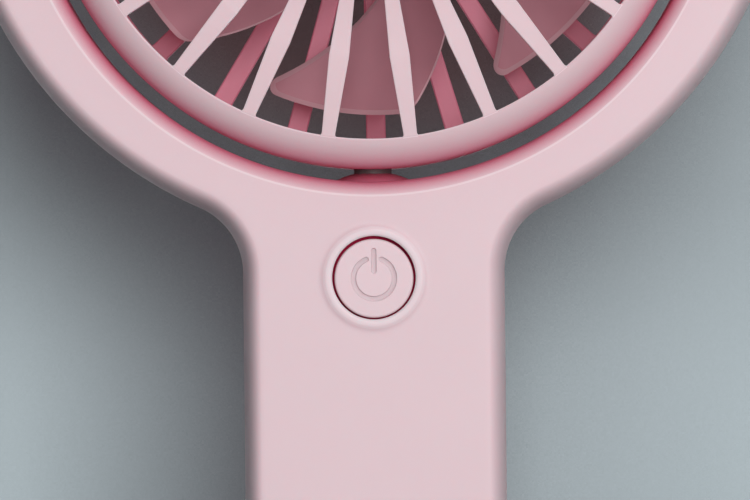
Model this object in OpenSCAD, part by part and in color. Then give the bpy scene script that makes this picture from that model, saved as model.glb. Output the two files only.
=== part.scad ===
// Handheld electric fan: a round fan head that swivels inside a ring, on a flat battery handle.
// Millimetres. +Z runs up the handle, the fan blows towards -Y, and the origin is the centre of the base.

/* [Handle and ring] */
// Height of the fan head's centre above the base
head_z = 156; // [154:1:160]
// Width of the handle
handle_w = 34.8; // [34.8:0.2:36]
// Depth of the handle and ring, front to back
body_d = 18; // [18:0.5:19]
// Wall thickness of the two body shells
wall = 1.8; // [1.6:0.1:1.8]
// Rounding of the body's outer edges
edge_r = 2.4; // [2:0.1:2.6]
// Radius of the ring's bore, which the head sits in
ring_bore_r = 45.4; // [45.3:0.1:45.6]
// Rounding where the ring's bore runs out into its faces
bore_edge_r = 2.6; // [2.2:0.1:2.8]
// Radius of the ring's outline
ring_outer_r = 56; // [56:0.5:57]
// How far the outline's centre is above the head's centre
ring_rise = 2.4; // [2.2:0.1:2.6]
// Concave radius between the ring and the handle
neck_r = 9.5; // [8:0.5:10]
// Corner radius of the base
foot_r = 7; // [6:0.5:8]

/* [Fan head] */
// Largest radius of the head
head_r = 43.7; // [43.5:0.1:43.7]
// Radius of the head's air opening
opening_r = 39.8; // [39.5:0.1:40]
// Ribs in each grille
rib_count = 23; // [19:1:25]
// Radius at which the front ribs are widest
rib_wide_r = 29.2; // [27:0.1:31]
// Greatest width of a front rib
rib_wide = 2.6; // [2:0.1:3]
// Radius of each grille's hub
grille_hub_r = 14; // [13.5:0.1:14.5]

/* [Impeller] */
// Number of blades
blade_count = 7; // [5:1:7]
// Radius of the blade tips
blade_tip_r = 36.6; // [34:0.1:37]
// Radius of the impeller's hub
hub_r = 12.6; // [12.4:0.1:13]
// Angle that one blade covers
blade_arc = 35; // [30:1:38]

/* [Power button] */
// Radius of the button
button_r = 5.3; // [5:0.1:5.5]
// Distance from the head's centre down to the button
button_drop = 58.1; // [57.6:0.1:58.4]
// Travel of the button
button_travel = 0.5; // [0.4:0.1:0.5]

/* [Mounts] */
// Radius of the lanyard hole
lanyard_r = 1.75; // [1.5:0.05:1.8]

/* [Hidden] */
$fn = 96;

PINK = "#e7c8ce";
DEEP_PINK = "#b9707f";
SMOKE = [0.55, 0.40, 0.43, 0.7];
STEEL = "#b8bcc0";
BRASS = "#c9a24a";
COPPER = "#b5652f";
BOARD_GREEN = "#1f6b45";
BLACK = "#202022";

eps = 0.01;
slip = 0.05;                       // running clearance on a radius
loose = 0.1;                       // clearance between pieces that don't run
half_d = body_d / 2;
half_w = handle_w / 2;
inner_d = half_d - wall;           // inside of a shell's face
inner_w = half_w - wall;           // inside of the handle's side
outline_z = head_z + ring_rise;
bore_crease = 20;                  // angle left between that rounding and the flat face
part_line = 0.3;                   // chamfer on each shell along the parting line
shell_split = 88;                  // height at which the shells are cut into ring and grip

// Neck fillet: its centre is neck_r outside both the handle's side and the ring's outline.
neck_x = half_w + neck_r;
neck_z = outline_z - sqrt(pow(ring_outer_r + neck_r, 2) - pow(neck_x, 2));
neck_start = atan2(outline_z - neck_z, -neck_x);   // towards the ring's centre
neck_sink = 0.05;                  // the web's surface lies this far under the ring's and the handle's
neck_land = 8;                     // how far the fillet's web runs into the ring and handle

// Swivel: two spindles on the vertical line through the head's centre.
bore_floor = head_z - ring_bore_r;
bore_roof = head_z + ring_bore_r;
lower_spindle_r = 2.5;
lead_hole_r = 1.5;                 // bore of the hollow lower spindle
upper_spindle_r = 2;
bush_wall = 1;
bush_dome_r = 11.3;                  // sphere that the bush's flange is cut from
bush_proud = 1.4;                  // height of the flange above the ring's bore
block_low = bore_floor - 5.2;      // underside of the lower pivot block
block_high = bore_roof + 4.6;      // top of the upper pivot block
block_w = 13;
washer_t = 0.5;
plate_t = 0.8;
clip_t = 0.6;
stop_r = 4.4;                      // distance of the stop peg from the swivel's axis
stop_peg_r = 0.7;
tab_r = 4.8;                       // reach of the stop plate's tab
tab_w = 1.8;
flange_w = 7;                      // square flange that keys each spindle into the head
flange_t = 1;

// Head: w is the distance in front of the ring's middle plane.
head_wall = 1.8;
duct_r = head_r - head_wall;
rim_r = 5;                         // rounding of the head's front and rear rims
rim_front = 8;                     // w of the front rim's arc centre
rim_rear = -9.5;
rim_face = rim_front + sqrt(pow(rim_r, 2) - pow(opening_r - head_r + rim_r, 2));
rib_rise = 1.1;                    // the front ribs rise this much from the rim to their widest point
rib_t = 1.6;
rib_hub_w = 1.1;
rib_rim_w = 1.72;
rear_rib_hub_w = 2.2;
rear_rib_rim_w = 2.7;
front_rib_turn = -0.6;             // clocking of each grille's ribs
rear_rib_turn = 0.7;
rear_face = -12.8;                 // w of the rear ribs' inner side at the rim
rear_sag = 1;                      // the rear grille bulges this much towards its hub
rear_rib_t = 2;
plate_w = rear_face - rear_sag;    // inner side of the rear hub, which carries the motor
hub_plate_t = 2;
cover_back = hub_plate_t + 0.1 - plate_w;
lip_r = duct_r - loose;
lip_t = 0.9;
lip_d = 4;
cap_back = rim_face + rib_rise - 0.3;
cap_dome = cover_back - cap_back;   // the cap stands as far forward as the lead cover does back
cap_dome_r = (pow(grille_hub_r - 1.6, 2) + pow(cap_dome - 0.3, 2)) / 2 / (cap_dome - 0.3);
snap_count = 6;
snap_arc = 10;
snap_h = 0.5;
channel_w = 1.6;                   // lead channel behind the lowest rear rib
ridge_w = 2.6;                     // ridge that the channel runs in

// Motor, along the head's axis.
shaft_r = 1;
bearing_r = 2.5;
bearing_l = 2.4;
ball_r = 0.42;
ball_count = 7;
tube_r = 3.2;
tube_front = -5.2;
stator_r = 8.6;
stator_back = -11.5;
stator_front = -6;
pole_count = 6;
magnet_r = 10;
yoke_r = 10.7;
yoke_front = -4.2;
hub_front = 0.5;
blade_mid = -2.4;                  // w of the blades' middle
blade_root_h = 10;
blade_tip_h = 8.4;
rear_sweep = -1.49;                // degrees that the rear edge turns for each millimetre of radius
rear_curve = 0.02;                 // how fast that sweep eases off towards the hub
front_sweep = -1.43;               // the same for the front edge
blade_phase = -9.4;                // place of one blade's tip, measured from straight down
tip_fall = 0.75;                   // the tip is this much lower at its rear corner
rear_corner_r = 1.35;
front_corner_r = 3.5;
edge_slant = 42;                   // angle between a blade's edges and the radius at the tip
blade_t = 0.9;
blade_camber = 1.1;

// Handle interior.
button_z = head_z - button_drop;
button_gap = 0.25;
button_proud = 0.1;
button_lip_r = 1.2;
collar_back = 6.5;                 // back of the shell's collar round the button
flange_back = 5.4;                 // back of the button's own flange
flange_reach = 0.7;                // the flange is this much larger than the button
stem_back = 4.3;
icon_depth = 0.2;
icon_r = 2.7;
icon_line = 0.66;
board_front = 0.6;
board_t = 1.4;
board_top = bore_floor - 9.2;
board_low = board_top - 17;
switch_w = 6;
switch_front = 3.7;
plunger_r = 1.7;
battery_low = 22;
battery_high = board_low - 4.6;
battery_w = 27;
battery_t = 10;
usb_w = 0.2;                       // w of the charging socket's middle
usb_wide = 8.94;
usb_high = 3.2;
charge_board_w = -1.42;            // front of the charging board
lead_r = 0.45;
motor_lead_r = 0.35;
lead_gap = 0.4;                    // half the distance between the two motor leads
lead_split = bore_floor - 3.2;     // the leads part here, on the swivel's axis
screw_r = 1;
screw_head_r = 1.9;
screw_head_h = 1.3;
screw_seat = -4;
screw_tip = 5;
boss_r = 3.1;
plug_t = 1.4;
lanyard_x = 12.4;
lanyard_z = 6.6;
lanyard_boss_r = 3.3;
ring_screw_angles = [-15, 50, 130, 195];
ring_screw_r = 50.4;
handle_screws = [[-12.9, 16.5], [12.9, 16.5], [-12.9, button_z + 0.6], [12.9, button_z + 0.6]];
screw_points = concat(handle_screws,
    [for (a = ring_screw_angles) [0, head_z] + (ring_screw_r + ring_rise / 2 * sin(a)) * [cos(a), sin(a)]]);

// ---- Helpers. Inside upright(), x is across, y is up and z is w, the distance towards the front. ----

module upright() rotate([90, 0, 0]) children();
module at_head() translate([0, head_z, 0]) children();
module turned() at_head() rotate_extrude() children();
module across(y, z, h, r) translate([0, y, z]) rotate([90, 0, 0]) cylinder(h = h, r = r, center = true);
// A disc or tube that stands along the swivel's axis, from y0 up to y1.
module post(y0, y1, r) translate([0, y1, 0]) rotate([90, 0, 0]) cylinder(h = y1 - y0, r = r);
module ring(r0, r1, w0, w1) turned() translate([r0, w0]) square([r1 - r0, w1 - w0]);
module block(x0, x1, y0, y1, z0, z1) translate([x0, y0, z0]) cube([x1 - x0, y1 - y0, z1 - z0]);
module around(count, turn = 0) for (i = [0 : count - 1]) at_head() rotate(turn + i * 360 / count) children();

// A round wire through the points: one ring of corners at each point, kept from twisting on its way.
wire_sides = 12;
function unit(v) = v / norm(v);
function lay(u, d) = unit(u - (u * d) * d);
function lay_all(u, ds, i = 0) = i == len(ds) ? [] : let (v = lay(u, ds[i]))
    concat([v], lay_all(v, ds, i + 1));
module wire(points, r) {
    n = len(points);
    ds = [for (i = [0 : n - 1]) unit((i < n - 1 ? unit(points[i + 1] - points[i]) : [0, 0, 0])
        + (i > 0 ? unit(points[i] - points[i - 1]) : [0, 0, 0]))];
    us = lay_all([0.6, 0.3, 0.74], ds);
    m = wire_sides;
    polyhedron([for (i = [0 : n - 1]) for (k = [0 : m - 1])
            points[i] + r * (cos(k * 360 / m) * us[i] + sin(k * 360 / m) * cross(ds[i], us[i]))],
        concat([[for (k = [0 : m - 1]) k]], [[for (k = [0 : m - 1]) n * m - 1 - k]],
            [for (i = [0 : n - 2]) for (k = [0 : m - 1]) let (a = i * m + k, b = i * m + (k + 1) % m)
                each [[a, a + m, b + m], [a, b + m, b]]]));
}

// ---- Body shells ----

// Section of half the body from r0 out to its edge at r1: rounded at the face, chamfered at the parting line.
module edge_section(r0, r1, face = half_d) difference() {
    union() {
        translate([r0, 0]) square([r1 - r0 - edge_r, face]);
        translate([r0, 0]) square([r1 - r0, face - edge_r]);
        translate([r1 - edge_r, face - edge_r]) circle(edge_r);
    }
    translate([r1, 0]) rotate(45) square(part_line * sqrt(2), center = true);
}
module bar(y0, y1) translate([0, y1, 0]) rotate([90, 0, 0]) linear_extrude(y1 - y0) {
    edge_section(0, half_w);
    mirror([1, 0]) edge_section(0, half_w);
}
module neck_web() translate([neck_x, neck_z, 0]) rotate(neck_start) rotate_extrude(angle = 180 - neck_start)
    translate([2 * neck_r + neck_land + neck_sink, 0]) mirror([1, 0])
        edge_section(neck_r, neck_r + neck_land, half_d - neck_sink);
module foot() {
    flat = half_w - foot_r;
    for (side = [-1, 1]) translate([side * flat, foot_r, 0]) rotate(side > 0 ? 270 : 180)
        rotate_extrude(angle = 90) edge_section(0, foot_r);
    translate([-flat, foot_r, 0]) mirror([0, 1, 0]) rotate([90, 0, 90]) linear_extrude(2 * flat)
        edge_section(0, foot_r);
}
module half_body() {
    translate([0, outline_z, 0]) rotate_extrude() edge_section(0, ring_outer_r);
    bar(foot_r, head_z - 42);
    neck_web();
    mirror([1, 0, 0]) neck_web();
    foot();
}
// The ring's bore, with its rounded mouth, is cut from the outside in.
module bore_cut() turned() {
    mouth_w = half_d - bore_edge_r * cos(bore_crease);
    translate([0, -eps]) square([ring_bore_r, body_d]);
    difference() {
        translate([0, mouth_w]) square([ring_bore_r + bore_edge_r * (1 - sin(bore_crease)) + 0.3, body_d]);
        translate([ring_bore_r + bore_edge_r, mouth_w]) circle(bore_edge_r);
    }
}
module cavity() {
    block(-inner_w, inner_w, wall, head_z - 48, -eps, inner_d);
    difference() {
        translate([0, outline_z, -eps]) cylinder(h = inner_d + eps, r = ring_outer_r - wall, $fn = 128);
        at_head() translate([0, 0, -1]) cylinder(h = body_d, r = ring_bore_r + wall, $fn = 128);
        block(-block_w / 2, block_w / 2, block_low, bore_floor, -1, body_d);
        block(-block_w / 2, block_w / 2, bore_roof, block_high, -1, body_d);
        for (side = [-1, 1]) translate([side * 30 - 13.1, 80, -1]) cube([26.2, 27.5, body_d]);
    }
}
module pivot_blocks() {
    block(-block_w / 2, block_w / 2, block_low, bore_floor - wall / 2, 0, half_d - wall / 2);
    block(-block_w / 2, block_w / 2, bore_roof + wall / 2, block_high, 0, half_d - wall / 2);
}
module pivot_bores() {
    post(block_low - 1, bore_floor + 2, lower_spindle_r + bush_wall + loose / 4);
    post(bore_roof - 2, block_high + 1, upper_spindle_r + bush_wall + loose / 4);
}
module usb_slot() translate([0, -1, usb_w]) rotate([-90, 0, 0]) {
    flat = usb_wide - usb_high;
    slot_r = usb_high / 2 + 0.3;
    for (side = [-1, 1]) translate([side * flat / 2, 0, 0]) cylinder(h = 4, r = slot_r);
    translate([-flat / 2, -slot_r, 0]) cube([flat, 2 * slot_r, 4]);
}
module light_hole() translate([7.8, -1, 0]) rotate([-90, 0, 0]) cylinder(h = 4, r = 0.95, $fn = 32);
module lanyard_hole() translate([lanyard_x, lanyard_z, -body_d]) cylinder(h = 2 * body_d, r = lanyard_r);

module hollow_half() {
    difference() {
        half_body();
        cavity();
        bore_cut();
    }
    difference() {
        union() {
            pivot_blocks();
            translate([lanyard_x, lanyard_z, 0]) cylinder(h = half_d - wall / 2, r = lanyard_boss_r);
        }
        bore_cut();
    }
}
module front_moulding() difference() {
    union() {
        hollow_half();
        for (p = screw_points) translate([p.x, p.y, 0]) cylinder(h = half_d - wall / 2, r = boss_r);
        translate([0, button_z, 0]) rotate_extrude() {
            translate([button_r + button_gap, collar_back]) square([1.3, half_d - wall / 2 - collar_back]);
            translate([button_r + button_gap + 0.65, half_d - 0.95]) circle(button_lip_r, $fn = 48);
        }
    }
    translate([0, button_z, collar_back - 2]) cylinder(h = body_d, r = button_r + button_gap);
    for (p = screw_points) translate([p.x, p.y, -1]) cylinder(h = screw_tip + 1.5, r = screw_r + slip);
    pivot_bores();
    usb_slot();
    light_hole();
    lanyard_hole();
}
module rear_moulding() {
    difference() {
        union() {
            mirror([0, 0, 1]) hollow_half();
            for (p = screw_points) translate([p.x, p.y, -half_d + wall / 2])
                cylinder(h = half_d - wall / 2, r = boss_r);
        }
        for (p = screw_points) translate([p.x, p.y, 0]) {
            translate([0, 0, -body_d]) cylinder(h = 2 * body_d, r = screw_r + slip);
            translate([0, 0, -body_d]) cylinder(h = body_d + screw_seat, r = screw_head_r + 0.3);
        }
        pivot_bores();
        usb_slot();
        light_hole();
        lanyard_hole();
    }
    translate([0, 0, -stop_r]) post(block_low - washer_t - plate_t - 0.2, block_low + 0.2, stop_peg_r);
}
// Each moulding is two nodes that meet at shell_split: the ring and neck above, the grip below.
module above_split() block(-head_z, head_z, shell_split, 2 * head_z, -body_d, body_d);
module below_split() block(-head_z, head_z, -body_d, shell_split, -body_d, body_d);
module front_shell() color(PINK) upright() difference() {
    front_moulding();
    below_split();
}
module rear_shell() color(PINK) upright() difference() {
    rear_moulding();
    below_split();
}
module front_grip() color(PINK) upright() difference() {
    front_moulding();
    above_split();
}
module rear_grip() color(PINK) upright() difference() {
    rear_moulding();
    above_split();
}
module shell_screws() color(STEEL) upright() for (p = screw_points) translate([p.x, p.y, 0]) difference() {
    union() {
        translate([0, 0, screw_seat - eps]) cylinder(h = screw_tip - screw_seat, r = screw_r, $fn = 32);
        translate([0, 0, screw_seat - screw_head_h]) cylinder(h = screw_head_h, r = screw_head_r, $fn = 48);
    }
    for (a = [0, 90]) translate([0, 0, screw_seat - screw_head_h]) rotate(a)
        cube([2.2, 0.5, 1.2], center = true);
}
module screw_plugs() color(DEEP_PINK) upright() for (p = screw_points)
    translate([p.x, p.y, -half_d]) cylinder(h = plug_t, r = screw_head_r + 0.25, $fn = 48);

// ---- Power button and electronics ----

module icon() translate([0, 0, half_d + button_proud - icon_depth]) linear_extrude(1) {
    difference() {
        circle(icon_r + icon_line / 2);
        circle(icon_r - icon_line / 2);
        polygon([[0, 0], [-2, 5], [2, 5]]);
    }
    for (side = [-1, 1]) rotate(side * 21.8) translate([0, icon_r]) circle(icon_line / 2, $fn = 24);
    translate([-icon_line / 2, 0.75 + icon_line / 2]) square([icon_line, 2.8]);
    for (y = [0.75 + icon_line / 2, 3.55 + icon_line / 2]) translate([0, y]) circle(icon_line / 2, $fn = 24);
}
module power_button() color(PINK) upright() translate([0, button_z, 0]) difference() {
    union() {
        rotate_extrude() {
            translate([0, flange_back]) square([button_r - 0.3, half_d + button_proud - flange_back]);
            translate([0, flange_back]) square([button_r, half_d + button_proud - 0.3 - flange_back]);
            translate([button_r - 0.3, half_d + button_proud - 0.3]) circle(0.3, $fn = 32);
            translate([0, flange_back]) square([button_r + flange_reach, collar_back - loose - flange_back]);
        }
        translate([0, 0, stem_back]) cylinder(h = 2, r = 1.5);
    }
    icon();
}
module switch_plunger() color(BLACK) upright() translate([0, button_z, switch_front - 0.6])
    cylinder(h = stem_back - loose / 2 - switch_front + 0.6, r = plunger_r, $fn = 48);
module tact_switch() color("#3a3a3e") upright() translate([0, button_z, 0]) difference() {
    block(-switch_w / 2, switch_w / 2, -switch_w / 2, switch_w / 2, board_front, switch_front);
    translate([0, 0, switch_front - 0.6 - button_travel - 0.2])
        cylinder(h = 5, r = plunger_r + slip, $fn = 48);
}
module control_board() color(BOARD_GREEN) upright()
    block(-9, 9, board_low, board_top, board_front - board_t, board_front);
module chip(x, y, w, h, t) block(x - w / 2, x + w / 2, y - h / 2, y + h / 2, board_front, board_front + t);
module board_components() color(BLACK) upright() {
    chip(-5.6, board_low + 4, 4.9, 3.9, 1.5);
    chip(5.4, board_low + 3.8, 4, 4, 1.2);
    for (i = [0 : 3]) chip(-7.4 + 1.2 * i, board_low + 1.2, 0.8, 1.6, 0.6);
    for (i = [0 : 3]) chip(7, board_low + 7.5 + 2 * i, 1.6, 0.8, 0.6);
    for (x = [-6.4, 0]) translate([x, board_low + 0.2, board_front - board_t - 3.2]) cube([5.2, 4, 3.2]);
}
module charge_board() color(BOARD_GREEN) upright()
    block(-9, 9, 2.2, 14.4, charge_board_w - 1, charge_board_w);
module usb_socket() color(STEEL) upright() translate([0, 0.4, usb_w]) rotate([-90, 0, 0]) difference() {
    socket_bar(usb_high / 2, 7.3);
    translate([0, 0, -1]) socket_bar(usb_high / 2 - 0.3, 7.9);
}
module socket_bar(r, h) {
    for (side = [-1, 1]) translate([side * (usb_wide - usb_high) / 2, 0, 0]) cylinder(h = h, r = r, $fn = 48);
    translate([-(usb_wide - usb_high) / 2, -r, 0]) cube([usb_wide - usb_high, 2 * r, h]);
}
module usb_tongue() color(BLACK) upright() block(-3.35, 3.35, 1.6, 0.4 + 6.9, usb_w - 0.35, usb_w + 0.35);
module charge_light() color([1, 1, 1, 0.6]) upright() translate([7.8, 0.1, 0]) rotate([-90, 0, 0])
    cylinder(h = 3.4, r = 0.9, $fn = 32);
module battery() color("#8f9499") upright() {
    block(-battery_w / 2, battery_w / 2, battery_low, battery_high, -battery_t / 2, battery_t / 2);
    for (x = [-6, 6]) block(x - 2, x + 2, battery_high, battery_high + 0.9, -0.1, 0.1);
}
module battery_board() color(BOARD_GREEN) upright()
    block(-11.5, 11.5, battery_high + 0.9, battery_high + 3.9, -0.4, 0.4);
module battery_pad() color("#d9d9d4") upright()
    block(-11, 11, battery_low + 5, battery_high - 5, -inner_d + 0.05, -battery_t / 2 - 0.05);
module battery_leads() upright() {
    y = battery_high + 2.4;
    for (side = [-1, 1]) color(side > 0 ? "red" : BLACK) wire([[side * 3, y, 0.9], [side * 3, y + 1.6, 1.4],
        [side * 2.2, board_low + 0.8, 1.6], [side * 2.2, board_low + 2.6, 1.1]], lead_r);
}
module charge_leads() upright() for (side = [-1, 1]) color(side > 0 ? "red" : BLACK) wire([
    [side * 7.6, 13.2, charge_board_w + 0.5], [side * 7.6, 20.7, 0], [side * 14.6, 20.9, 0],
    [side * 14.6, board_low - 3.4, 0], [side * 9.9, board_low + 1.6, 0.6],
    [side * 8.4, board_low + 1.6, 1.1]], lead_r);
module motor_leads_handle() upright() for (side = [-1, 1]) color(side > 0 ? "red" : BLACK) wire([
    [side * 1.4, board_top - 2.6, board_front - board_t - 0.4], [side * 0.9, board_top + 0.3, -1.2],
    [side * lead_gap, board_top + 1.5, -0.2], [side * lead_gap, lead_split - 0.6, 0]], motor_lead_r);

// ---- Swivel ----

// Flanged bush: the domed flange lies on the ring's bore and the sleeve lines the pivot block.
module flanged_bush(r, length) {
    dome_y = bore_floor + bush_proud - bush_dome_r;
    difference() {
        union() {
            intersection() {
                translate([0, dome_y, 0]) sphere(bush_dome_r, $fn = 240);
                at_head() cylinder(h = body_d, r = ring_bore_r, center = true, $fn = 360);
            }
            post(bore_floor - length, bore_floor + 0.5, r + bush_wall);
        }
        post(bore_floor - length - 1, bore_floor + bush_proud + 1, r + slip);
    }
}
module lower_bush() color(DEEP_PINK) upright() flanged_bush(lower_spindle_r, bore_floor - block_low);
module upper_bush() color(DEEP_PINK) upright() at_head() mirror([0, 1, 0]) translate([0, -head_z, 0])
    flanged_bush(upper_spindle_r, block_high - bore_roof);
module wave_washer(y0, r) difference() {
    post(y0, y0 + washer_t - 0.02, r + 0.9);
    post(y0 - 1, y0 + 2, r + slip);
}
module lower_wave_washer() color(STEEL) upright() wave_washer(block_low - washer_t, lower_spindle_r);
module upper_wave_washer() color(STEEL) upright() wave_washer(block_high + 0.02, upper_spindle_r);
module stop_plate() color(STEEL) upright() difference() {
    y0 = block_low - washer_t - plate_t;
    union() {
        post(y0, y0 + plate_t - 0.02, lower_spindle_r + 0.9);
        block(-tab_w / 2, tab_w / 2, y0, y0 + plate_t - 0.02, 0, tab_r);
    }
    post(y0 - 1, y0 + 2, lower_spindle_r);
}
module clip(y0, r) difference() {
    post(y0, y0 + clip_t - 0.02, r + 1.1);
    post(y0 - 1, y0 + 2, r);
    block(-r * 0.8, r * 0.8, y0 - 1, y0 + 2, -r - 3, 0);
}
module spindle_clips() color(BLACK) upright() {
    clip(block_low - washer_t - plate_t - clip_t, lower_spindle_r);
    clip(block_high + washer_t + 0.02, upper_spindle_r);
}
module lower_spindle() color(STEEL) upright() difference() {
    union() {
        post(block_low - 2.4, head_z - duct_r - flange_t / 2, lower_spindle_r);
        block(-flange_w / 2, flange_w / 2, head_z - duct_r - flange_t, head_z - duct_r, -flange_w / 2,
            flange_w / 2);
    }
    post(block_low - 5, head_z - duct_r + 1, lead_hole_r);
}
module upper_spindle() color(STEEL) upright() {
    post(head_z + duct_r + flange_t / 2, block_high + 2.2, upper_spindle_r);
    block(-flange_w / 2, flange_w / 2, head_z + duct_r, head_z + duct_r + flange_t, -flange_w / 2,
        flange_w / 2);
}
module spindle_seats() {
    seat = flange_w / 2 + loose / 2;
    post(head_z - head_r - 1, head_z - duct_r, lower_spindle_r + loose / 4);
    post(head_z + duct_r, head_z + head_r + 1, upper_spindle_r + loose / 4);
    block(-seat, seat, head_z - duct_r - flange_t, head_z - duct_r + 4, -seat, seat);
    block(-seat, seat, head_z + duct_r - 4, head_z + duct_r + flange_t, -seat, seat);
}

// ---- Grilles ----

// Kite-shaped outline of one front rib, and the plain taper of a rear one.
module kite() polygon([[grille_hub_r - 1, -rib_hub_w / 2], [rib_wide_r, -rib_wide / 2],
    [opening_r + 0.8, -rib_rim_w / 2], [opening_r + 0.8, rib_rim_w / 2], [rib_wide_r, rib_wide / 2],
    [grille_hub_r - 1, rib_hub_w / 2]]);
module taper() polygon([[grille_hub_r - 1, -rear_rib_hub_w / 2], [duct_r - 0.6, -rear_rib_rim_w / 2],
    [duct_r - 0.6, rear_rib_rim_w / 2], [grille_hub_r - 1, rear_rib_hub_w / 2]]);
// Section of the rounded rim and the duct wall behind it; w runs from 0 to the rim's face.
module rim_section(arc_w, mouth_r) difference() {
    union() {
        translate([head_r - rim_r, arc_w]) circle(rim_r);
        translate([head_r - rim_r, 0]) square([rim_r, arc_w]);
    }
    translate([0, -1]) square([duct_r, arc_w + 1 - 0.8]);
    translate([0, -1]) square([mouth_r, arc_w + 2 * rim_r]);
    translate([0, -2 * rim_r]) square([2 * head_r, 2 * rim_r]);
    polygon([[mouth_r - 1, arc_w - 0.8], [duct_r, arc_w - 0.8], [mouth_r, arc_w + 1.6],
        [mouth_r - 1, arc_w + 1.6]]);
}
module front_rib_shell() turned() polygon([[grille_hub_r - 2, rim_face + rib_rise + 0.3],
    [rib_wide_r, rim_face + rib_rise], [opening_r, rim_face], [opening_r, rim_face - rib_t],
    [rib_wide_r, rim_face + rib_rise - rib_t], [grille_hub_r - 2, rim_face + rib_rise + 0.3 - rib_t]]);
module rear_rib_shell() turned() polygon([[grille_hub_r - 2, plate_w], [duct_r, rear_face],
    [duct_r, rear_face - rear_rib_t + 0.6], [grille_hub_r - 2, plate_w - rear_rib_t]]);
module snaps() for (i = [0 : snap_count - 1]) at_head() rotate(30 + i * 360 / snap_count)
    rotate_extrude(angle = snap_arc)
        polygon([[lip_r - 0.2, -3.2], [lip_r - 0.2, -1.9], [lip_r + snap_h, -2.2], [lip_r + snap_h, -2.8]]);
// The rim and duct are one node, and the ribs and hub that span its opening are another.
module front_rim() color(PINK) upright() difference() {
    union() {
        turned() rim_section(rim_front, opening_r);
        turned() translate([lip_r - lip_t, -lip_d]) square([lip_t, lip_d + 0.6]);
        turned() translate([lip_r - lip_t, 0.02]) square([lip_t + loose + 0.3, 0.6]);
        snaps();
    }
    spindle_seats();
    block(-3, 3, head_z - head_r + 1, head_z - 36, -lip_d - 1, 0.1);
}
module front_grille() color(PINK) upright() {
    intersection() {
        front_rib_shell();
        around(rib_count, 90 + front_rib_turn) linear_extrude(40, center = true) kite();
    }
    turned() difference() {
        translate([0, rim_face + rib_rise - 1.5]) square([grille_hub_r, 2]);
        translate([0, rim_face + rib_rise - 0.3]) square([grille_hub_r - 1.5, 2]);
    }
}
module channel_ridge() block(-ridge_w / 2, ridge_w / 2, head_z - duct_r + 0.4, head_z - grille_hub_r + 1,
    plate_w - 1.9, rear_face - 0.4);
module lead_channel() {
    block(-channel_w / 2, channel_w / 2, head_z - duct_r + 0.4, head_z - 10, plate_w - 4, rear_face - 1.2);
    block(-channel_w / 2, channel_w / 2, head_z - duct_r - 0.1, head_z - duct_r + 2.6, rear_face - 2.6, -9);
    block(-channel_w / 2, channel_w / 2, head_z - grille_hub_r - 0.5, head_z - 9, plate_w - 1, plate_w + 1);
}
module rear_rim() color(DEEP_PINK) upright() difference() {
    union() {
        mirror([0, 0, 1]) turned() rim_section(-rim_rear, opening_r - 0.5);
        channel_ridge();
    }
    ring(0, opening_r, 2 * plate_w, 1);
    lead_channel();
    turned() polygon([[duct_r - 1, -3.4], [duct_r - 1, -1.7], [duct_r + 0.65, -1.9], [duct_r + 0.65, -3.2]]);
    spindle_seats();
}
module rear_grille() color(DEEP_PINK) upright() difference() {
    union() {
        intersection() {
            rear_rib_shell();
            around(rib_count, -90 + rear_rib_turn) linear_extrude(60, center = true) taper();
        }
        ring(0, grille_hub_r + 0.5, plate_w - hub_plate_t, plate_w);
        channel_ridge();
    }
    ring(opening_r, head_r + 1, 2 * plate_w, 1);
    lead_channel();
    ring(0, tube_r, plate_w - 1.2, plate_w + 1);
}
module grille_cap() color("#efd5da") upright() turned() intersection() {
    translate([0, cap_back + cap_dome - cap_dome_r]) circle(cap_dome_r, $fn = 720);
    translate([0, cap_back]) square([grille_hub_r - 1.6, 2]);
}

// ---- Motor ----

module motor_board() color(BOARD_GREEN) upright() difference() {
    ring(tube_r + loose, 12, plate_w + 0.05, plate_w + 1.05);
    block(-channel_w / 2, channel_w / 2, head_z - 13, head_z - 9, plate_w - 1, plate_w + 3);
}
module bearing_tube() color(BRASS) upright() ring(bearing_r, tube_r, plate_w - 1.2, tube_front);
module bearing_pair() for (w = [plate_w + 0.3, tube_front - 0.1 - bearing_l]) translate([0, 0, w]) children();
module bearing_outer_rings() color(STEEL) upright() bearing_pair() turned() difference() {
    translate([2, 0]) square([bearing_r - 2, bearing_l]);
    translate([1.73, bearing_l / 2]) circle(ball_r + 0.02, $fn = 32);
}
module bearing_inner_rings() color(STEEL) upright() bearing_pair() turned() difference() {
    translate([shaft_r, 0]) square([0.45, bearing_l]);
    translate([1.73, bearing_l / 2]) circle(ball_r + 0.02, $fn = 32);
}
module bearing_balls() color("#dfe3e6") upright() bearing_pair() around(ball_count)
    translate([1.73, 0, bearing_l / 2]) sphere(ball_r, $fn = 32);
module stator_core() color("#6d7074") upright() {
    ring(tube_r, 4.4, stator_back, stator_front);
    around(pole_count) {
        translate([4, -0.8, stator_back]) cube([4, 1.6, stator_front - stator_back]);
        rotate(-22) translate([0, 0, stator_back]) rotate_extrude(angle = 44)
            translate([7.6, 0]) square([stator_r - 7.6, stator_front - stator_back]);
    }
}
module stator_windings() color(COPPER) upright() around(pole_count) difference() {
    translate([4.9, -1.6, stator_back - 0.8]) cube([2.4, 3.2, stator_front - stator_back + 1.6]);
    translate([3, -0.8, stator_back]) cube([6, 1.6, stator_front - stator_back]);
}
module motor_shaft() color(STEEL) upright() ring(0, shaft_r, plate_w + 0.1, hub_front - 1.4);
module shaft_clip() color(BLACK) upright() ring(shaft_r, 1.7, plate_w + 0.04, plate_w + 0.24);
module rotor_yoke() color(STEEL) upright() {
    ring(magnet_r, yoke_r, stator_back - 0.8, yoke_front);
    ring(2.6, magnet_r + eps, yoke_front - 0.7, yoke_front);
}
module magnet_ring() color(BLACK) upright() ring(8.85, magnet_r, stator_back - 0.4, stator_front + 0.4);
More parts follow.
